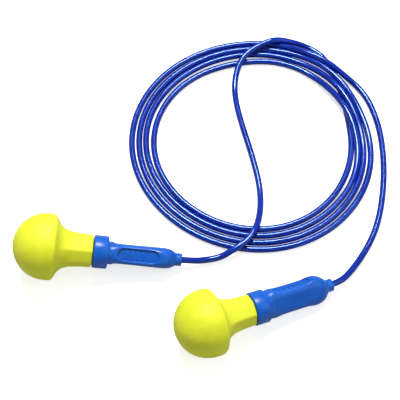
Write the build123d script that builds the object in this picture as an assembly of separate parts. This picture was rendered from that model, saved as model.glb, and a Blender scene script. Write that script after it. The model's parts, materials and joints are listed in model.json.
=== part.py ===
"""Corded push-in foam ear plugs: two plugs joined by one long cord that lies in a loose coil.

All sizes are millimetres. The floor is z = 0, +Z is up, and the origin is on the floor under the
middle of the box round the two plugs. Each plug is drawn on its own axis, which starts at the
cord's pivot just inside the grip's mouth and runs towards the foam, and is then laid on the floor.
"""
from build123d import *
import os
from math import asin, atan2, cos, degrees, hypot, pi, radians, sin, tan

# ---------------------------------------------------------------- foam tip
HEAD_DIAMETER = 14.0        # the cap, at its widest
BAND_LENGTH = 1.6           # straight band between the dome and the rim
RIM_ROUND = 0.45            # rounded edge of the rim
STEM_END_DIAMETER = 6.8     # foam stem at the collar
STEM_HEAD_DIAMETER = 7.3    # foam stem where it starts to flare into the cap
STEM_LENGTH = 4.7           # from the collar to the start of the flare
FLARE_LENGTH = 3.3          # from there to the rim's back edge
FLARE_MIDDLE = (0.36, 0.74) # a point on the flare, as shares of its spread and of its length

# ---------------------------------------------------------------- moulded grip
COLLAR_DIAMETER = 6.9
COLLAR_LENGTH = 3.1
COLLAR_ROUND = 0.35
FOAM_GAP = 0.15             # open gap between the foam's end and the collar
NECK_DIAMETER = 4.8
NECK_LENGTH = 1.1
JOIN = 0.4                  # how far neighbouring bodies of the moulding run into each other
PADDLE_LENGTH = 13.1        # from the neck to the ferrule
PADDLE_DEPTH = 5.4          # across the two panelled faces, in the middle
PADDLE_WIDTH = 4.2          # across the two plain faces
BULGE_DEPTH = 6.0           # the swelling near the cord
NOSE_DIAMETER = 2.9         # the paddle where it meets the ferrule
BULGE_START = 2.8           # the swelling's full depth, from the ferrule
BULGE_END = 4.4
WAIST_START = 6.0           # where the swelling has run out
NOSE_ROUNDNESS = 0.45       # corner radius as a share of the section's width
BULGE_ROUNDNESS = 0.35
PADDLE_ROUNDNESS = 0.28
FERRULE_WALL = 0.2          # at the mouth's edge, outside the flare
FERRULE_LENGTH = 1.4
PANEL_LENGTH = 8.8          # sunk panel on each panelled face
PANEL_WIDTH = 2.8
PANEL_SINK = 0.3
PANEL_OFFSET = 0.5          # from the panel's end to the neck
CORE_DIAMETER = 2.6         # hidden peg that carries the foam
CORE_LENGTH = 11.0

# ---------------------------------------------------------------- cord and its socket
CORD_DIAMETER = 1.4
SOCKET_DEPTH = 5.0          # blind bore in the grip, from the mouth
PIVOT_DEPTH = 0.35          # where the cord starts to bend, inside the mouth
SOCKET_GAP = 0.05           # round the cord's bending end
SWING_ROOM = 34.0           # degrees each way that the mouth is flared for

# ---------------------------------------------------------------- how the plugs lie
LEFT_PIVOT = (1.23, 7.75, 2.45)
LEFT_HEADING = -1.6         # degrees from +X, the way the cord leaves
LEFT_ROLL = -29.0           # panelled faces, turned from upright about the plug's axis
RIGHT_PIVOT = (32.63, 1.9, 2.32)
RIGHT_HEADING = 22.6
RIGHT_ROLL = 44.0

# ---------------------------------------------------------------- how the coil lies
COIL_CENTRE = (17.53, 38.3)
COIL_RADIUS = 22.2          # middle of the first, innermost turn
TURN_STEP = 1.65            # how much wider each turn lies than the one before
TURN_STEPS = 3              # the steps outwards, after the first, second and third turn
STEP_SWEEP = 80.0           # degrees over which a turn moves outwards
STEP_DELAY = 12.0           # how far past each whole turn that step is centred
WAVE_COUNT = 3              # the turns are not quite round: they have three soft corners
WAVE_HEIGHT = 0.33
WAVE_ANGLE = 52.0
COIL_START_ANGLE = 18.0
INNER_START_SWEEP = 10.0    # where the whole turns used for the coil's two outlines start
OUTER_START_SWEEP = 1090.0
OUTLINE_POINTS = 18

# ---------------------------------------------------------------- the cord's uncoiled routes
LEFT_ROUTE = [
    LEFT_PIVOT, (4.33, 7.66, 1.92), (7.63, 8.2, 1.33), (11.43, 9.6, 3.2), (17.83, 17.6, 3.42),
    (18.73, 23.0, 0.89), (18.33, 28.4, 0.7), (16.93, 35.6, 0.71), (14.93, 43.4, 0.7),
    (13.53, 50.6, 0.89), (14.33, 57.6, 3.42), (20.13, 64.8, 3.31), (25.93, 66.9, 0.89),
    (31.33, 65.0, 0.7), (34.93, 60.0, 0.71), (35.03, 56.4, 0.72),
]
RIGHT_ROUTE = [
    RIGHT_PIVOT, (35.63, 3.2, 1.85), (39.13, 6.6, 0.89), (42.53, 12.8, 0.7), (45.03, 20.6, 0.71),
    (46.33, 28.4, 0.7), (46.73, 36.6, 0.71), (45.93, 43.8, 0.89), (43.33, 51.2, 2.1), (38.33, 57.4, 3.53),
    (31.93, 62.8, 3.42), (26.13, 64.7, 1.11),
]


def cord_path(points):
    """Straight runs joined by arcs as large as the runs beside each bend allow."""
    stops = [Vector(*point) for point in points]
    radii = []
    for before, corner, after in zip(stops, stops[1:], stops[2:]):
        run_in = corner - before
        run_out = after - corner
        half_turn = radians(run_in.get_angle(run_out)) / 2
        radii.append(0.45 * min(run_in.length, run_out.length) / tan(half_turn))
    return FilletPolyline(*stops, radius=radii), radii


def cord_tube(points):
    """A round cord along the route, with a ball where it pivots in the grip's socket."""
    path, radii = cord_path(points)
    section = Plane(origin=path @ 0, z_dir=path % 0) * Circle(CORD_DIAMETER / 2)
    tube = sweep(section, path=path)
    expected = pi * (CORD_DIAMETER / 2) ** 2 * path.length
    print(f"  length {path.length:.1f}  volume {tube.volume:.2f} of {expected:.2f}")
    print("  radii " + " ".join(f"{radius:.1f}" for radius in radii))
    return tube + Pos(*points[0]) * Sphere(CORD_DIAMETER / 2), path.length


def smooth(value):
    """0 below 0, 1 above 1, and a soft step between them."""
    value = min(max(value, 0.0), 1.0)
    return value * value * (3 - 2 * value)


def turn_radius(sweep_angle):
    """Middle of the cord, measured from the coil's centre, after so many degrees of winding."""
    angle = COIL_START_ANGLE - sweep_angle
    radius = COIL_RADIUS + WAVE_HEIGHT * cos(radians(WAVE_COUNT * (angle - WAVE_ANGLE)))
    for turn in range(1, TURN_STEPS + 1):
        middle = 360 * turn + STEP_DELAY
        radius += TURN_STEP * smooth((sweep_angle - middle) / STEP_SWEEP + 0.5)
    return radius


def coil_outline(first_sweep, offset):
    """Closed curve along one whole turn, moved in or out by the offset."""
    points = []
    for step in range(OUTLINE_POINTS):
        sweep_angle = first_sweep + 360 * step / OUTLINE_POINTS
        angle = radians(COIL_START_ANGLE - sweep_angle)
        radius = turn_radius(sweep_angle) + offset
        points.append((COIL_CENTRE[0] + radius * cos(angle), COIL_CENTRE[1] + radius * sin(angle)))
    return Spline(*points, periodic=True)


def make_coil():
    """The outer shape of the wound turns, which lie side by side on the floor."""
    inside = make_face(coil_outline(INNER_START_SWEEP, -CORD_DIAMETER / 2))
    outside = make_face(coil_outline(OUTER_START_SWEEP, CORD_DIAMETER / 2))
    return extrude(outside - inside, CORD_DIAMETER)


# Distances along a plug's own axis, from the cord's pivot towards the foam.
MOUTH = -PIVOT_DEPTH
FERRULE_TOP = MOUTH + FERRULE_LENGTH
NECK_START = FERRULE_TOP + PADDLE_LENGTH
COLLAR_START = NECK_START + NECK_LENGTH
COLLAR_END = COLLAR_START + COLLAR_LENGTH
FOAM_END = COLLAR_END + FOAM_GAP
FLARE_START = FOAM_END + STEM_LENGTH
RIM_BACK = FLARE_START + FLARE_LENGTH
DOME_START = RIM_BACK + BAND_LENGTH
HEAD_RADIUS = HEAD_DIAMETER / 2


def make_foam_tip():
    """Mushroom-shaped foam: a dome, a short band, a rounded rim and a tapering hollow stem."""
    stem_end = STEM_END_DIAMETER / 2
    stem_head = STEM_HEAD_DIAMETER / 2
    core = CORE_DIAMETER / 2
    core_top = COLLAR_END + CORE_LENGTH
    rim_in = HEAD_RADIUS - RIM_ROUND
    rim_low = RIM_BACK + RIM_ROUND
    diagonal = RIM_ROUND * sin(pi / 4)
    flare_radius = stem_head + FLARE_MIDDLE[0] * (rim_in - stem_head)
    flare_height = FLARE_START + FLARE_MIDDLE[1] * FLARE_LENGTH
    profile = Polyline((core, core_top), (core, FOAM_END), (stem_end, FOAM_END))
    profile += Spline(
        (stem_end, FOAM_END),
        (stem_head, FLARE_START),
        (flare_radius, flare_height),
        (rim_in, RIM_BACK),
        tangents=((stem_head - stem_end, STEM_LENGTH), (1, 0)),
    )
    profile += ThreePointArc(
        (rim_in, RIM_BACK), (rim_in + diagonal, rim_low - diagonal), (HEAD_RADIUS, rim_low)
    )
    profile += Line((HEAD_RADIUS, rim_low), (HEAD_RADIUS, DOME_START))
    profile += ThreePointArc(
        (HEAD_RADIUS, DOME_START),
        (HEAD_RADIUS * cos(pi / 4), DOME_START + HEAD_RADIUS * sin(pi / 4)),
        (0, DOME_START + HEAD_RADIUS),
    )
    profile += Polyline((0, DOME_START + HEAD_RADIUS), (0, core_top), (core, core_top))
    return revolve(Plane.XZ * make_face(profile), Axis.Z)


def paddle_section(height, depth, width, roundness):
    """One rounded cross-section; depth lies along X, width along Y, corners are a share of it."""
    return Pos(0, 0, height) * RectangleRounded(depth, width, roundness * width)


def make_paddle():
    """Flattened handle that swells near the cord and closes down to the ferrule."""
    nose = NOSE_DIAMETER
    width = PADDLE_WIDTH
    shoulder_depth = (nose + BULGE_DEPTH) / 2
    shoulder_width = (nose + width) / 2
    sections = [
        paddle_section(FERRULE_TOP, nose, nose, NOSE_ROUNDNESS),
        paddle_section(FERRULE_TOP + BULGE_START / 4, shoulder_depth, shoulder_width, NOSE_ROUNDNESS),
        paddle_section(FERRULE_TOP + BULGE_START, BULGE_DEPTH, width, BULGE_ROUNDNESS),
        paddle_section(FERRULE_TOP + BULGE_END, BULGE_DEPTH, width, BULGE_ROUNDNESS),
        paddle_section(FERRULE_TOP + WAIST_START, PADDLE_DEPTH, width, PADDLE_ROUNDNESS),
        paddle_section(NECK_START, PADDLE_DEPTH, width, PADDLE_ROUNDNESS),
    ]
    return loft(sections, ruled=True)


def cylinder_between(start, end, diameter):
    """A cylinder on the plug's axis."""
    return Pos(0, 0, (start + end) / 2) * Cylinder(diameter / 2, end - start)


def make_panels():
    """The two sunk panels, as cutters for the paddle's panelled faces."""
    middle = NECK_START - PANEL_OFFSET - PANEL_LENGTH / 2
    outline = SlotOverall(PANEL_LENGTH, PANEL_WIDTH)
    cutters = Part()
    for side in (-1, 1):
        floor = side * (PADDLE_DEPTH / 2 - PANEL_SINK)
        face = Plane(origin=(floor, 0, middle), x_dir=(0, 0, 1), z_dir=(side, 0, 0))
        cutters += extrude(face * outline, BULGE_DEPTH / 2)
    return cutters


def make_grip():
    """One moulding: peg inside the foam, collar, neck, paddle, ferrule and the cord's blind bore."""
    bend_radius = CORD_DIAMETER / 2 + SOCKET_GAP
    swing_room = radians(SWING_ROOM)
    mouth_radius = bend_radius / cos(swing_room) + PIVOT_DEPTH * tan(swing_room)
    ferrule_diameter = 2 * (mouth_radius + FERRULE_WALL)
    collar = cylinder_between(COLLAR_START, COLLAR_END, COLLAR_DIAMETER)
    collar = fillet(collar.edges().filter_by(GeomType.CIRCLE), COLLAR_ROUND)
    grip = make_paddle() - make_panels()
    grip += collar
    grip += cylinder_between(NECK_START - JOIN, COLLAR_START + JOIN, NECK_DIAMETER)
    grip += cylinder_between(MOUTH, FERRULE_TOP + JOIN, ferrule_diameter)
    grip += cylinder_between(COLLAR_END - JOIN, COLLAR_END + CORE_LENGTH, CORE_DIAMETER)
    grip -= cylinder_between(0, MOUTH + SOCKET_DEPTH, CORD_DIAMETER)
    grip -= cylinder_between(MOUTH, bend_radius, 2 * bend_radius)
    grip -= Pos(0, 0, MOUTH / 2) * Cone(mouth_radius, bend_radius, PIVOT_DEPTH)
    return grip


def make_cord_end():
    """The short end of the cord that is bonded in the grip's bore, behind the pivot."""
    return cylinder_between(CORD_DIAMETER / 2 + 2 * SOCKET_GAP, MOUTH + SOCKET_DEPTH, CORD_DIAMETER)


def plug_place(pivot, heading, roll):
    """Lay a plug on the floor: its rim touches, its mouth is at the pivot, its foam end is up."""
    ring_radius = HEAD_RADIUS - RIM_ROUND
    ring_height = RIM_BACK + RIM_ROUND
    reach = hypot(ring_height, ring_radius)
    pitch = atan2(ring_radius, ring_height) - asin((pivot[2] - RIM_ROUND) / reach)
    turn = radians(heading)
    to_head = Vector(-cos(pitch) * cos(turn), -cos(pitch) * sin(turn), sin(pitch))
    upright = Vector(sin(pitch) * cos(turn), sin(pitch) * sin(turn), cos(pitch))
    sideways = to_head.cross(upright)
    tilt = radians(roll)
    depth_way = upright * cos(tilt) + sideways * sin(tilt)
    print(f"  pitch {degrees(pitch):.2f}  towards the cord {tuple(round(v, 4) for v in -to_head)}")
    return Plane(origin=pivot, x_dir=depth_way, z_dir=to_head).location


os.makedirs("parts", exist_ok=True)
nodes = {}
plug_pieces = {"foam_tip": make_foam_tip(), "grip": make_grip(), "cord_end": make_cord_end()}
places = {
    "left": plug_place(LEFT_PIVOT, LEFT_HEADING, LEFT_ROLL),
    "right": plug_place(RIGHT_PIVOT, RIGHT_HEADING, RIGHT_ROLL),
}
for side, place in places.items():
    for name, piece in plug_pieces.items():
        nodes[f"{side}_{name}"] = place * piece

nodes["cord_left_run"], left_length = cord_tube(LEFT_ROUTE)
nodes["cord_right_run"], right_length = cord_tube(RIGHT_ROUTE)
nodes["cord_coil"] = make_coil()
print(f"uncoiled cord {left_length + right_length:.1f}")

for name, solid in nodes.items():
    solid.label = name
    export_step(solid, f"parts/{name}.step")
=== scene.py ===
# %% [markdown]
# # Corded foam ear plugs
# Two push-in ear plugs lie on a table. Each is a soft foam mushroom on a hard blue grip, and one long
# cord joins them. The engineering model gives the places and sizes; here each visible piece gets its
# real surface. The frame is loaded first.

# %% Load the frame
import json
from math import cos, pi, radians, sin, sqrt

import bmesh
import bpy
from mathutils import Matrix, Vector


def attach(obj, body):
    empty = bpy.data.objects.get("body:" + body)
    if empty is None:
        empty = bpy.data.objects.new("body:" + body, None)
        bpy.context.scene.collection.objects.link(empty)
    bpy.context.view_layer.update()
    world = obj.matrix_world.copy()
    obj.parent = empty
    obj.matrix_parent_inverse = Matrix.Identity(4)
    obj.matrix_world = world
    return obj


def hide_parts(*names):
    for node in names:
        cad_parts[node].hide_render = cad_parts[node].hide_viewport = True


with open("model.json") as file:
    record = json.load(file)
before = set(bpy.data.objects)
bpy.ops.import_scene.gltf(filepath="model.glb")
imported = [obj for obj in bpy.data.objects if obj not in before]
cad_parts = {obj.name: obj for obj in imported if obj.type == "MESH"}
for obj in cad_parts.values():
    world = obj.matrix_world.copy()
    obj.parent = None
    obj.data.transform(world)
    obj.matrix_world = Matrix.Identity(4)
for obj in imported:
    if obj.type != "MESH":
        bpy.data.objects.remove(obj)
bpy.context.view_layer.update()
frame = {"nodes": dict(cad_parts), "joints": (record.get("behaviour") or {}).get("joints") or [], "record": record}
MM = 0.001                  # every size below is written in millimetres

# %% [markdown]
# ## Small helpers
# Colours are picked as sRGB hex values, the way a colour picker shows them, but shaders calculate in
# linear light, so one function converts them. Another adds a shader node with its settings and its
# links in one call, which keeps each material short enough to read as a list of what it is made of.

# %% Colour and node helpers
def linear(hex_colour, alpha=1.0):
    """sRGB hex to the linear RGBA that shader sockets take."""
    channels = [int(hex_colour[i:i + 2], 16) / 255 for i in (1, 3, 5)]
    straight = [c / 12.92 if c <= 0.04045 else ((c + 0.055) / 1.055) ** 2.4 for c in channels]
    return (*straight, alpha)


def add_node(tree, kind, links=None, **settings):
    """Add a node; settings are its own properties or sockets, links are sockets fed by others."""
    node = tree.nodes.new(kind)
    for name, value in settings.items():
        if hasattr(node, name):
            setattr(node, name, value)
        else:
            node.inputs[name.replace("_", " ")].default_value = value
    for name, source in (links or {}).items():
        tree.links.new(source, node.inputs[name])
    return node


def new_material(name):
    """An empty material with its Principled shader joined to the output."""
    material = bpy.data.materials.new(name)
    material.use_nodes = True
    tree = material.node_tree
    return material, tree, tree.nodes["Principled BSDF"]


# %% [markdown]
# ## Camera, light and table
# Product shots of small things use a long lens from well above, so the coil reads as a ring and the
# plugs keep their proportions. The lens here is 108 mm, looking down at 61 degrees. A pale seamless
# table and large soft lamps give broad, gentle shading with one thin bright line along glossy cord.

# %% Camera
LOOK_AT = Vector((5.5, 23.5, 0)) * MM
LOOK_DOWN = radians(61)
DISTANCE = 263 * MM

camera_data = bpy.data.cameras.new("camera")
camera_data.lens = 108
camera_data.sensor_width = 36
camera_data.clip_start = 0.01
camera = bpy.data.objects.new("camera", camera_data)
camera.location = LOOK_AT + DISTANCE * Vector((0, -cos(LOOK_DOWN), sin(LOOK_DOWN)))
camera.rotation_euler = (pi / 2 - LOOK_DOWN, 0, 0)
bpy.context.collection.objects.link(camera)
bpy.context.scene.camera = camera
print("camera at", [round(v, 4) for v in camera.location])

# %% Lamps and world
def soft_lamp(name, place, aim, size, power, tint):
    """A square area lamp at a place, turned to face a point."""
    data = bpy.data.lights.new(name, "AREA")
    data.shape = "RECTANGLE"
    data.size, data.size_y = size
    data.energy = power
    data.color = linear(tint)[:3]
    lamp = bpy.data.objects.new(name, data)
    lamp.location = place
    lamp.rotation_euler = (Vector(aim) - Vector(place)).to_track_quat("-Z", "Y").to_euler()
    bpy.context.collection.objects.link(lamp)
    return lamp


soft_lamp("key_lamp", (0.0, 0.24, 0.50), LOOK_AT, (0.20, 0.12), 4.2, "#fffdf8")
soft_lamp("fill_lamp", (0.40, -0.10, 0.35), LOOK_AT, (0.30, 0.30), 0.4, "#f4f8ff")
world = bpy.data.worlds.new("studio")
world.use_nodes = True
world.node_tree.nodes["Background"].inputs["Color"].default_value = linear("#ffffff")
world.node_tree.nodes["Background"].inputs["Strength"].default_value = 0.36
bpy.context.scene.world = world
bpy.context.scene.view_settings.view_transform = "Standard"

# %% Table
floor_mesh = bpy.data.meshes.new("table")
FLOOR_HALF = 1.5            # metres
PAPER_GLOW = 0.62           # lifts the paper to white where it is seen directly, but lights nothing
corners = [(-FLOOR_HALF, -FLOOR_HALF, 0), (FLOOR_HALF, -FLOOR_HALF, 0),
           (FLOOR_HALF, FLOOR_HALF, 0), (-FLOOR_HALF, FLOOR_HALF, 0)]
floor_mesh.from_pydata(corners, [], [(0, 1, 2, 3)])
floor = bpy.data.objects.new("table", floor_mesh)
bpy.context.collection.objects.link(floor)
paper, paper_tree, paper_shader = new_material("matte_white_paper")
paper_shader.inputs["Roughness"].default_value = 0.9
paper_shader.inputs["Specular IOR Level"].default_value = 0.1
paper_shader.inputs["Emission Color"].default_value = linear("#ffffff")
seen_by = add_node(paper_tree, "ShaderNodeLightPath")
glow = add_node(paper_tree, "ShaderNodeMath", {0: seen_by.outputs["Is Camera Ray"]}, operation="MULTIPLY")
glow.inputs[1].default_value = PAPER_GLOW
paper_tree.links.new(glow.outputs[0], paper_shader.inputs["Emission Strength"])
# Seen directly the paper is white, but it bounces light as a grey does, so the foam's underside keeps
# its own colour.
tone = add_node(paper_tree, "ShaderNodeMix", {"Factor": seen_by.outputs["Is Camera Ray"]}, data_type="RGBA")
tone.inputs["A"].default_value = linear("#b4b4b4")
tone.inputs["B"].default_value = linear("#fafafa")
paper_tree.links.new(tone.outputs["Result"], paper_shader.inputs["Base Color"])
floor_mesh.materials.append(paper)

# %% [markdown]
# ## The cord's route
# The cord is one length of soft PVC, so it is one curve from plug to plug. It leaves the left grip,
# climbs over the coil, crosses its middle in a lazy S, climbs over the far side, dives under the
# bundle and winds almost four turns outwards before it runs to the right grip. The loose stretches
# are listed points; the turns are worked out, because each is the last one plus a small step.
# A quadratic spline runs a little inside its control points, so the winding radius allows for that.

# %% Listed stretches, in millimetres
LEFT_STRETCH = [
    (1.23, 7.75, 2.45), (4.2, 7.67, 1.95), (7.2, 8.3, 1.28), (10.0, 8.9, 1.34), (13.0, 10.5, 2.18),
    (15.9, 12.6, 2.29), (17.7, 15.9, 2.23), (18.5, 19.6, 1.34), (18.8, 23.6, 0.7), (18.4, 28.4, 0.7),
    (16.9, 35.4, 0.7), (15.1, 42.2, 0.7), (13.8, 48.2, 0.7), (13.4, 53.0, 0.73), (14.0, 57.3, 1.55),
    (16.0, 61.0, 2.42), (19.1, 63.2, 2.6), (22.9, 64.7, 3.2), (27.1, 65.1, 1.5), (31.1, 64.0, 0.7),
    (34.2, 61.6, 0.7), (36.1, 57.8, 0.7), (37.4, 53.4, 0.7), (38.5, 49.2, 0.7),
]
RIGHT_STRETCH = [
    (31.4, 60.9, 2.85), (35.6, 58.2, 2.5), (39.1, 55.5, 1.3), (42.0, 52.8, 0.71), (44.1, 49.2, 0.7),
    (45.5, 44.4, 0.7), (46.2, 40.0, 0.7), (46.4, 35.0, 0.7), (46.2, 30.0, 0.7), (45.6, 25.0, 0.7),
    (44.6, 19.8, 0.7), (42.9, 14.6, 0.7), (40.3, 9.8, 0.78), (37.2, 5.35, 1.33), (34.9, 2.9, 2.0),
    (32.63, 1.9, 2.32),
]
print("points placed by hand:", len(LEFT_STRETCH) + len(RIGHT_STRETCH))

# %% Wound turns
CORD_RADIUS = 0.7
COIL_CENTRE = (17.53, 38.3)
COIL_RADIUS = 22.2          # the innermost turn
TURN_STEP = 1.65            # how much wider each turn lies than the one before
STEP_SWEEP = 80.0           # degrees over which a turn moves outwards
STEP_DELAY = 12.0           # how far past each whole turn that step is centred
START_ANGLE = 18.0          # where the first turn comes out from under the bundle
LAST_SWEEP = 1380           # degrees wound, almost four turns
POINT_SWEEP = 15.0
SPLINE_SHRINK = (6 + 2 * cos(radians(POINT_SWEEP))) / 8
WAVE_HEIGHT = 0.33          # the coil is not quite round: it has three soft corners
WAVE_ANGLE = 52.0

# Where a turn leaves its neat place: degrees wound, reach each way, outwards, upwards. The first
# row lifts each turn over the strand that dives beneath it.
NUDGES = [
    (358, 36, 0.0, 1.6), (706, 34, 0.0, 1.6), (1056, 34, 0.0, 1.6), (1416, 46, 0.0, 1.5),
    (228, 80, -0.2, 0.0), (1025, 70, -0.28, 0.15), (392, 30, 0.14, 0.12), (932, 60, -0.1, 0.0),
    (1376, 50, -0.36, 0.25), (346, 34, -0.33, 0.0), (712, 44, -0.35, 0.0), (1072, 44, -0.5, 0.15),
    (580, 60, 0.05, 0.0), (150, 70, 0.18, 0.0), (276, 34, -0.5, 0.0), (400, 30, 0.2, 0.0),
    (1290, 50, -0.12, 0.0),
]


def smooth(value):
    """0 below 0, 1 above 1, and a soft step between them."""
    value = min(max(value, 0.0), 1.0)
    return value * value * (3 - 2 * value)


def coil_point(wound):
    """The cord's middle after so many degrees of winding."""
    angle = START_ANGLE - wound
    radius = COIL_RADIUS + WAVE_HEIGHT * cos(radians(3 * (angle - WAVE_ANGLE)))
    height = CORD_RADIUS
    for turn in (1, 2, 3):
        radius += TURN_STEP * smooth((wound - 360 * turn - STEP_DELAY) / STEP_SWEEP + 0.5)
    for place, reach, outwards, upwards in NUDGES:
        share = 1 - smooth(abs(wound - place) / reach)
        radius += outwards * share
        height += upwards * share
    radius /= SPLINE_SHRINK
    x = COIL_CENTRE[0] + radius * cos(radians(angle))
    y = COIL_CENTRE[1] + radius * sin(radians(angle))
    return x, y, height


turn_points = [coil_point(POINT_SWEEP * i) for i in range(1, int(LAST_SWEEP / POINT_SWEEP) + 1)]
print("points of the wound turns:", len(turn_points))

# %% [markdown]
# The points become one NURBS spline. Its order and end settings are given after the points are in,
# because Blender limits the order to the number of points present. The round section is the curve's
# own bevel, so the cord keeps one thickness everywhere, as an extruded cord does.

# %% Build the cord
def build_cord():
    """One open spline through all the points, thickened to the cord's section."""
    curve = bpy.data.curves.new("cord", "CURVE")
    curve.dimensions = "3D"
    route = LEFT_STRETCH + turn_points + RIGHT_STRETCH
    spline = curve.splines.new("NURBS")
    spline.points.add(len(route) - 1)
    for point, place in zip(spline.points, route):
        point.co = (*(Vector(place) * MM), 1)
    spline.order_u = 3
    spline.use_endpoint_u = True
    curve.resolution_u = 12
    curve.bevel_depth = CORD_RADIUS * MM
    curve.bevel_resolution = 6
    curve.use_fill_caps = True
    cord = bpy.data.objects.new("cord", curve)
    bpy.context.collection.objects.link(cord)
    return cord


def centre_length(curve_object):
    """Length of the curve's own line, measured on a copy with no thickness."""
    bare = curve_object.copy()
    bare.data = curve_object.data.copy()
    bare.data.bevel_depth = 0
    mesh = bpy.data.meshes.new_from_object(bare)
    ends = [[mesh.vertices[i].co for i in edge.vertices] for edge in mesh.edges]
    bpy.data.objects.remove(bare)
    return sum((first - second).length for first, second in ends)


cord = build_cord()
cord_length = centre_length(cord)
print("cord length", round(cord_length, 4), "m")

# %% [markdown]
# ## Where each plug lies
# The frame knows this already: a joint marks the point where the cord enters each grip, and the ear
# tip's mount gives the plug's axis. Only the roll about that axis is written here. Each plug is then
# modelled upright on its own axis, and its finished mesh is moved into place.

# %% Plug placements
PLUG_ROLL = {"left": -29.0, "right": 44.0}


def plug_placement(side):
    """Matrix from a plug's own axis, in millimetres, to its place in the frame, in metres."""
    joint = next(j for j in frame["joints"] if j["name"] == f"{side}_plug_swing")
    mount = next(m for m in frame["record"]["mounts"] if m["name"] == f"{side}_ear_tip")
    to_head = Vector(mount["axis"]).normalized()
    upright = (Vector((0, 0, 1)) - to_head.z * to_head).normalized()
    sideways = to_head.cross(upright)
    roll = radians(PLUG_ROLL[side])
    depth_way = upright * cos(roll) + sideways * sin(roll)
    width_way = to_head.cross(depth_way)
    turned = Matrix((depth_way, width_way, to_head)).transposed().to_4x4()
    return Matrix.Translation(joint["pos_m"]) @ turned @ Matrix.Scale(MM, 4)


PLACEMENT = {side: plug_placement(side) for side in PLUG_ROLL}

# %% [markdown]
# ## Turned and lofted bodies
# Both the foam and the grip are closed skins built from rings stacked along the plug's axis. Rings
# are a good fit here: where the outline changes fast they can be packed close, and the section may
# turn from round to square on the way. The first and last rings close on a single point.

# %% Skin through rings
def ring_skin(name, rings, placement):
    """Closed mesh through rings of equal count; the first and last items are single end points."""
    mesh = bmesh.new()
    first = mesh.verts.new(rings[0])
    last = mesh.verts.new(rings[-1])
    loops = [[mesh.verts.new(point) for point in ring] for ring in rings[1:-1]]
    count = len(loops[0])
    for i in range(count):
        following = (i + 1) % count
        mesh.faces.new((first, loops[0][following], loops[0][i]))
        for low, high in zip(loops, loops[1:]):
            mesh.faces.new((low[i], low[following], high[following], high[i]))
        mesh.faces.new((last, loops[-1][i], loops[-1][following]))
    bmesh.ops.transform(mesh, matrix=placement, verts=mesh.verts)
    bmesh.ops.recalc_face_normals(mesh, faces=mesh.faces)
    data = bpy.data.meshes.new(name)
    mesh.to_mesh(data)
    mesh.free()
    data.shade_smooth()
    piece = bpy.data.objects.new(name, data)
    bpy.context.collection.objects.link(piece)
    return piece


# %% [markdown]
# ## Foam tips
# The tips are slow-recovery polyurethane foam, cast in a mould: a dome, a short band, a soft rim and
# a stem that flares into the cap. The stem's mould is faintly eight-sided, which shows as long soft
# facets. The outline is a handful of points with an arc for the dome, and a subdivision surface
# rounds it, because foam has no crisp edge anywhere.

# %% Foam outline
CORE_RADIUS = 1.3
HEAD_RADIUS = 7.0
FOAM_END = 18.5             # the foam's end at the collar, along the plug's axis
DOME_START = 28.1
BORE_TOP = 29.35
FACETS = 8
FACET_DEPTH = 0.85          # 1 would be a true octagon
FACET_SPREAD = 0.02         # keeps the facets' corners near the round outline
FACET_FADE = (23.0, 26.0)   # where the facets run out, along the axis
DOME_STEPS = 15
TIP_AROUND = 64

STEM_OUTLINE = [
    (2.6, FOAM_END), (3.2, FOAM_END), (3.36, 18.68), (3.41, 19.3), (3.46, 20.4), (3.53, 21.6),
    (3.66, 22.8), (3.86, 23.8), (4.2, 24.6), (4.8, 25.3), (5.5, 25.75), (6.15, 26.08), (6.58, 26.32),
    (6.82, 26.56), (6.95, 26.9), (6.99, 27.4),
]


def foam_outline():
    """Radius and height pairs from inside the bore, round the stem and cap, to the dome's top."""
    points = [(CORE_RADIUS, height) for height in (BORE_TOP, 26.0, 22.0, FOAM_END + 0.15)]
    points += [(CORE_RADIUS + 0.1, FOAM_END)] + STEM_OUTLINE
    for step in range(DOME_STEPS):
        angle = pi / 2 * step / DOME_STEPS
        points.append((HEAD_RADIUS * cos(angle), DOME_START + HEAD_RADIUS * sin(angle)))
    return points


def facet_radius(radius, height, angle):
    """A soft eight-sided section on the stem that fades out under the cap."""
    fade_start, fade_end = FACET_FADE
    on_stem = radius > CORE_RADIUS + 1 and height < fade_end
    if not on_stem:
        return radius
    half = pi / FACETS
    flat = cos(half) / cos((angle % (2 * half)) - half)
    share = FACET_DEPTH * (1 - smooth((height - fade_start) / (fade_end - fade_start)))
    return radius * (1 + share * (flat - 1 + FACET_SPREAD))


def build_foam_tip(side):
    """The whole mushroom, bore included, as one closed skin."""
    rings = [(0, 0, BORE_TOP)]
    for radius, height in foam_outline():
        angles = [2 * pi * i / TIP_AROUND for i in range(TIP_AROUND)]
        rings.append([
            (facet_radius(radius, height, a) * cos(a), facet_radius(radius, height, a) * sin(a), height)
            for a in angles
        ])
    rings.append((0, 0, DOME_START + HEAD_RADIUS))
    tip = ring_skin(f"{side}_foam", rings, PLACEMENT[side])
    rounding = tip.modifiers.new("rounding", "SUBSURF")
    rounding.levels = rounding.render_levels = 1
    return tip


foam_tips = {side: build_foam_tip(side) for side in PLACEMENT}
print("foam tip faces before rounding:", len(foam_tips["left"].data.polygons))

# %% [markdown]
# ## Grips
# Each grip is one injection moulding of blue thermoplastic: a collar that the foam stops at, a neck,
# a flattened paddle with a sunk panel on its two narrow faces, a swelling that keeps it between the
# fingers, and a short ferrule round the cord. It is lofted from sections whose half depth, half
# width and squareness change along the axis. The sunk panels and the fine raised moulding line are
# shaped in the same skin, so their edges stay part of one surface, as they are on a moulding.

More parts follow.
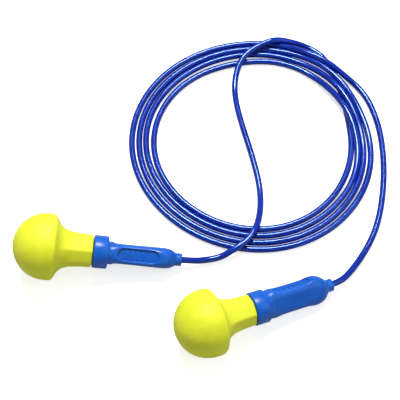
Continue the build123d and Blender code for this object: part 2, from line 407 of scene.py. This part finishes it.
# %% Grip sections
MOUTH = -0.35               # the ferrule's open end, just behind the cord's pivot
BORE_END = 4.65
PANEL_START, PANEL_END = 4.6, 13.4
PANEL_HALF_WIDTH = 1.42
PANEL_WALL = 0.16           # width of the sloping wall round the panel
PANEL_SINK = 0.48
PADDLE_HALF_DEPTH = 2.62
LINE_HALF_WIDTH = 0.09      # the fine line where the mould's halves met
LINE_HEIGHT = 0.035

# Height, half depth, half width, squareness (2 is an ellipse, more is squarer).
GRIP_SECTIONS = [
    (BORE_END, 0.705, 0.705, 2), (BORE_END - 0.2, 0.71, 0.71, 2), (0.82, 0.71, 0.71, 2),
    (0.76, 0.75, 0.75, 2),
    (0.2, 0.78, 0.78, 2), (-0.02, 0.9, 0.9, 2), (-0.3, 1.12, 1.12, 2), (MOUTH, 1.16, 1.16, 2),
    (MOUTH, 1.25, 1.25, 2), (-0.29, 1.33, 1.33, 2), (-0.05, 1.34, 1.34, 2), (0.8, 1.34, 1.34, 2),
    (0.98, 1.35, 1.35, 2), (1.05, 1.46, 1.42, 2.1), (1.3, 1.74, 1.54, 2.3), (1.7, 2.12, 1.78, 2.6),
    (2.2, 2.5, 1.98, 2.9), (2.9, 2.83, 2.1, 3.1), (3.7, 2.99, 2.15, 3.2), (4.5, 3.0, 2.15, 3.3),
    (5.2, 2.86, 2.14, 3.6), (5.8, 2.7, 2.13, 4.0), (6.4, 2.62, 2.12, 4.4), (8.0, 2.6, 2.1, 4.6),
    (11.0, 2.62, 2.08, 4.6), (12.2, 2.68, 2.08, 4.4), (12.9, 2.82, 2.09, 4.0), (13.5, 2.98, 2.12, 3.4),
    (14.0, 3.06, 2.2, 2.8), (14.15, 3.07, 2.3, 2.5), (14.3, 3.05, 2.4, 2.3), (15.1, 3.05, 2.4, 2.2),
    (15.25, 3.1, 2.5, 2.1), (15.26, 3.25, 3.22, 2), (15.32, 3.38, 3.38, 2), (15.5, 3.45, 3.45, 2),
    (18.1, 3.45, 3.45, 2), (18.28, 3.38, 3.38, 2), (18.35, 3.2, 3.2, 2), (18.35, 1.5, 1.5, 2),
    (18.4, 1.29, 1.29, 2), (22.0, 1.29, 1.29, 2), (29.1, 1.29, 1.29, 2), (29.3, 1.1, 1.1, 2),
]


def section_at(height_share):
    """Section between two neighbours of the list, by a share that counts along the list."""
    index = min(int(height_share), len(GRIP_SECTIONS) - 2)
    part = height_share - index
    return [a + (b - a) * part for a, b in zip(GRIP_SECTIONS[index], GRIP_SECTIONS[index + 1])]


# %% [markdown]
# Long stretches of the paddle need many rings for the panel's edge to be crisp, and the ferrule and
# the collar need few. The number of rings between two sections therefore follows from how far apart
# they are. A superellipse gives each ring: one formula that runs from a circle to a rounded box.

# %% Grip skin
RING_SPACING = 0.11
GRIP_AROUND = 160


def superellipse(half_depth, half_width, squareness, angle):
    """A point of the rounded section at an angle round the axis."""
    across, along = cos(angle), sin(angle)
    power = 2 / squareness
    x = half_depth * abs(across) ** power * (1 if across >= 0 else -1)
    y = half_width * abs(along) ** power * (1 if along >= 0 else -1)
    return x, y


def panel_share(height, y):
    """1 inside the sunk panel's outline, 0 outside it, with a narrow sloping wall between."""
    end_radius = PANEL_HALF_WIDTH
    low, high = PANEL_START + end_radius, PANEL_END - end_radius
    beyond = max(low - height, height - high, 0)
    distance = end_radius - sqrt(beyond * beyond + y * y)
    return smooth(distance / PANEL_WALL)


def grip_point(section, angle):
    """Point of the grip's skin, with the panels sunk and the moulding line raised."""
    height, half_depth, half_width, squareness = section
    x, y = superellipse(half_depth, half_width, squareness, angle)
    on_paddle = 1 < height < 15 and half_width > 1.35
    if on_paddle:
        if abs(x) > half_depth * 0.55:
            x -= (1 if x > 0 else -1) * PANEL_SINK * panel_share(height, y)
        line = 1 - smooth(abs(x) / LINE_HALF_WIDTH)
        y += (1 if y > 0 else -1) * LINE_HEIGHT * line
    return x, y, height


def grip_rings():
    """All rings from the bore's end, out round the mouth, along the body and up the hidden peg."""
    rings = []
    for i, (here, there) in enumerate(zip(GRIP_SECTIONS, GRIP_SECTIONS[1:])):
        steps = max(1, round(abs(there[0] - here[0]) / RING_SPACING)) if 1 < here[0] < 14.2 and i > 9 else 1
        for step in range(steps):
            section = section_at(i + step / steps)
            angles = [2 * pi * k / GRIP_AROUND for k in range(GRIP_AROUND)]
            rings.append([grip_point(section, angle) for angle in angles])
    return rings


def build_grip(side):
    """One closed moulding."""
    rings = [(0, 0, BORE_END)] + grip_rings() + [(0, 0, 29.35)]
    return ring_skin(f"{side}_grip_moulding", rings, PLACEMENT[side])


grips = {side: build_grip(side) for side in PLACEMENT}
print("grip faces:", len(grips["left"].data.polygons))

# %% [markdown]
# ## Finger ribs
# The sunk panels carry a short row of raised bars that stop a fingertip sliding. A row of equal bars
# is what Geometry Nodes are for: one rounded bar, copied along a line, with the count and the pitch
# as inputs. The result is realised and given its material inside the tree, then kept as plain mesh.

# %% Rib tree
def rib_tree(material):
    """Geometry Nodes: a row of bars along Z on each of the two panels."""
    tree = bpy.data.node_groups.new("finger_ribs", "GeometryNodeTree")
    face = tree.interface
    face.new_socket("Geometry", in_out="INPUT", socket_type="NodeSocketGeometry")
    face.new_socket("Count", in_out="INPUT", socket_type="NodeSocketInt")
    for name in ("Pitch", "Start", "Floor"):
        face.new_socket(name, in_out="INPUT", socket_type="NodeSocketFloat")
    face.new_socket("Geometry", in_out="OUTPUT", socket_type="NodeSocketGeometry")
    given = add_node(tree, "NodeGroupInput")
    step = add_node(tree, "ShaderNodeCombineXYZ", {"Z": given.outputs["Pitch"]})
    rows = []
    for sign in (1, -1):
        floor_x = add_node(tree, "ShaderNodeMath", {0: given.outputs["Floor"]}, operation="MULTIPLY")
        floor_x.inputs[1].default_value = sign
        start = add_node(tree, "ShaderNodeCombineXYZ", {
            "X": floor_x.outputs[0], "Z": given.outputs["Start"]})
        rows.append(add_node(tree, "GeometryNodeMeshLine", {
            "Count": given.outputs["Count"], "Start Location": start.outputs[0], "Offset": step.outputs[0]}))
    both = add_node(tree, "GeometryNodeJoinGeometry")
    for row in rows:
        tree.links.new(row.outputs["Mesh"], both.inputs[0])
    bar = add_node(tree, "GeometryNodeMeshCube")
    bar.inputs["Size"].default_value = RIB_SIZE
    for axis, count in zip("XYZ", (2, 6, 3)):
        bar.inputs[f"Vertices {axis}"].default_value = count
    soft_bar = add_node(tree, "GeometryNodeSubdivisionSurface", {"Mesh": bar.outputs["Mesh"]}, Level=2)
    copies = add_node(tree, "GeometryNodeInstanceOnPoints", {
        "Points": both.outputs[0], "Instance": soft_bar.outputs["Mesh"]})
    real = add_node(tree, "GeometryNodeRealizeInstances", {"Geometry": copies.outputs[0]})
    smooth_all = add_node(tree, "GeometryNodeSetShadeSmooth", {"Geometry": real.outputs[0]})
    painted = add_node(tree, "GeometryNodeSetMaterial", {"Geometry": smooth_all.outputs[0]},
                       Material=material)
    result = add_node(tree, "NodeGroupOutput")
    tree.links.new(painted.outputs[0], result.inputs[0])
    return tree


# %% Ribs on both grips
RIB_SIZE = (0.22, 1.7, 0.5)
RIB_COUNT = 5
RIB_PITCH = 1.15


def build_ribs(side, tree):
    """Run the tree once, keep its mesh, and lay it in the plug's panels."""
    seed_mesh = bpy.data.meshes.new("rib_seed")
    holder = bpy.data.objects.new("rib_holder", seed_mesh)
    bpy.context.collection.objects.link(holder)
    nodes = holder.modifiers.new("ribs", "NODES")
    nodes.node_group = tree
    middle = (PANEL_START + PANEL_END) / 2
    values = {"Count": RIB_COUNT, "Pitch": RIB_PITCH, "Start": middle - RIB_PITCH * (RIB_COUNT - 1) / 2,
              "Floor": PADDLE_HALF_DEPTH - PANEL_SINK}
    for item in tree.interface.items_tree:
        if item.name in values:
            nodes[item.identifier] = values[item.name]
    evaluated = holder.evaluated_get(bpy.context.evaluated_depsgraph_get())
    mesh = bpy.data.meshes.new_from_object(evaluated)
    bpy.data.objects.remove(holder)
    mesh.transform(PLACEMENT[side])
    ribs = bpy.data.objects.new(f"{side}_finger_ribs", mesh)
    bpy.context.collection.objects.link(ribs)
    return ribs


# %% [markdown]
# ## Materials
# Three plastics, three surfaces. Slow-recovery foam scatters light and is full of pores too fine to
# see one by one, so it is matte, soft-edged and a little translucent. The grip is a satin moulding
# with a fine spark-eroded texture. The cord is plasticised PVC, drawn smooth and glossy, which is
# what gives it the thin bright line along its length.

# %% Foam material
def foam_material():
    """Cast polyurethane foam, bright yellow-green: matte, porous and faintly translucent."""
    material, tree, shader = new_material("slow_recovery_foam")
    spot = add_node(tree, "ShaderNodeTexCoord").outputs["Object"]
    blotch = add_node(tree, "ShaderNodeTexNoise", {"Vector": spot}, Scale=260.0, Detail=3.0)
    tone = add_node(tree, "ShaderNodeValToRGB", {"Fac": blotch.outputs["Fac"]})
    tone.color_ramp.elements[0].color = linear("#d0d622")
    tone.color_ramp.elements[0].position = 0.3
    tone.color_ramp.elements[1].color = linear("#dce434")
    tone.color_ramp.elements[1].position = 0.75
    tree.links.new(tone.outputs["Color"], shader.inputs["Base Color"])
    # Real pores are about 0.1 mm; these are drawn at 0.25 mm so that they can be seen.
    pores = add_node(tree, "ShaderNodeTexVoronoi", {"Vector": spot}, Scale=4000.0)
    grain = add_node(tree, "ShaderNodeTexNoise", {"Vector": spot}, Scale=1400.0, Detail=2.0)
    both = add_node(tree, "ShaderNodeMath", {0: pores.outputs["Distance"], 1: grain.outputs["Fac"]},
                    operation="ADD")
    bump = add_node(tree, "ShaderNodeBump", {"Height": both.outputs[0]}, Strength=0.12, Distance=0.00008)
    tree.links.new(bump.outputs["Normal"], shader.inputs["Normal"])
    shader.inputs["Roughness"].default_value = 0.55
    shader.inputs["IOR"].default_value = 1.45
    shader.inputs["Subsurface Weight"].default_value = 0.25
    shader.inputs["Subsurface Radius"].default_value = (1.0, 0.9, 0.2)
    shader.inputs["Subsurface Scale"].default_value = 0.0012
    shader.inputs["Specular IOR Level"].default_value = 0.4
    return material


# %% Grip material
def grip_material():
    """Injection-moulded polyolefin, mid blue: satin, with a fine texture from the tool."""
    material, tree, shader = new_material("satin_blue_moulding")
    spot = add_node(tree, "ShaderNodeTexCoord").outputs["Object"]
    flow = add_node(tree, "ShaderNodeTexNoise", {"Vector": spot}, Scale=420.0, Detail=4.0)
    tone = add_node(tree, "ShaderNodeValToRGB", {"Fac": flow.outputs["Fac"]})
    tone.color_ramp.elements[0].color = linear("#034eae")
    tone.color_ramp.elements[0].position = 0.3
    tone.color_ramp.elements[1].color = linear("#055bc0")
    tone.color_ramp.elements[1].position = 0.75
    tree.links.new(tone.outputs["Color"], shader.inputs["Base Color"])
    # Spark-eroded texture: about 0.15 mm between grains.
    grain = add_node(tree, "ShaderNodeTexNoise", {"Vector": spot}, Scale=5200.0, Detail=2.0)
    bump = add_node(tree, "ShaderNodeBump", {"Height": grain.outputs["Fac"]},
                    Strength=0.18, Distance=0.00004)
    tree.links.new(bump.outputs["Normal"], shader.inputs["Normal"])
    shine = add_node(tree, "ShaderNodeMapRange", {"Value": flow.outputs["Fac"]}, To_Min=0.28, To_Max=0.38)
    tree.links.new(shine.outputs["Result"], shader.inputs["Roughness"])
    shader.inputs["IOR"].default_value = 1.5
    shader.inputs["Specular IOR Level"].default_value = 0.35
    return material


# %% Cord material
def cord_material():
    """Plasticised PVC, royal blue: glossy, with very slight waviness from drawing."""
    material, tree, shader = new_material("glossy_blue_pvc")
    spot = add_node(tree, "ShaderNodeTexCoord").outputs["Object"]
    streak = add_node(tree, "ShaderNodeTexNoise", {"Vector": spot}, Scale=300.0, Detail=2.0)
    tone = add_node(tree, "ShaderNodeValToRGB", {"Fac": streak.outputs["Fac"]})
    tone.color_ramp.elements[0].color = linear("#041c84")
    tone.color_ramp.elements[0].position = 0.3
    tone.color_ramp.elements[1].color = linear("#08289a")
    tone.color_ramp.elements[1].position = 0.75
    tree.links.new(tone.outputs["Color"], shader.inputs["Base Color"])
    shine = add_node(tree, "ShaderNodeMapRange", {"Value": streak.outputs["Fac"]}, To_Min=0.11, To_Max=0.16)
    tree.links.new(shine.outputs["Result"], shader.inputs["Roughness"])
    shader.inputs["Specular Tint"].default_value = linear("#a4ccff")
    shader.inputs["IOR"].default_value = 1.53
    shader.inputs["Specular IOR Level"].default_value = 0.75
    return material


foam_finish = foam_material()
grip_finish = grip_material()
cord_finish = cord_material()
print("materials:", foam_finish.name, grip_finish.name, cord_finish.name)

# %% [markdown]
# ## Put the pieces on the frame
# Each piece rides on the body it belongs to, and the plain solid it replaces is hidden. The
# short bonded ends of the cord are exact already, so they stay and only take the cord's finish.

# %% Dress both plugs
ribs_tree = rib_tree(grip_finish)
for side in PLACEMENT:
    body = f"{side}_plug"
    tip, grip = foam_tips[side], grips[side]
    ribs = build_ribs(side, ribs_tree)
    tip.data.materials.append(foam_finish)
    grip.data.materials.append(grip_finish)
    for piece, slot_name in ((tip, "foam"), (grip, "grip_plastic"), (ribs, "grip_plastic")):
        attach(piece, body)
    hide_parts(f"{side}_foam_tip")
    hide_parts(f"{side}_grip")
    bonded_end = frame["nodes"][f"{side}_cord_end"]
    bonded_end.data.materials.clear()
    bonded_end.data.materials.append(cord_finish)
    print(side, "plug dressed; ribs have", len(ribs.data.polygons), "faces")

# %% Dress the cord
cord.data.materials.append(cord_finish)
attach(cord, "cord")
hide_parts("cord_left_run", "cord_coil", "cord_right_run")
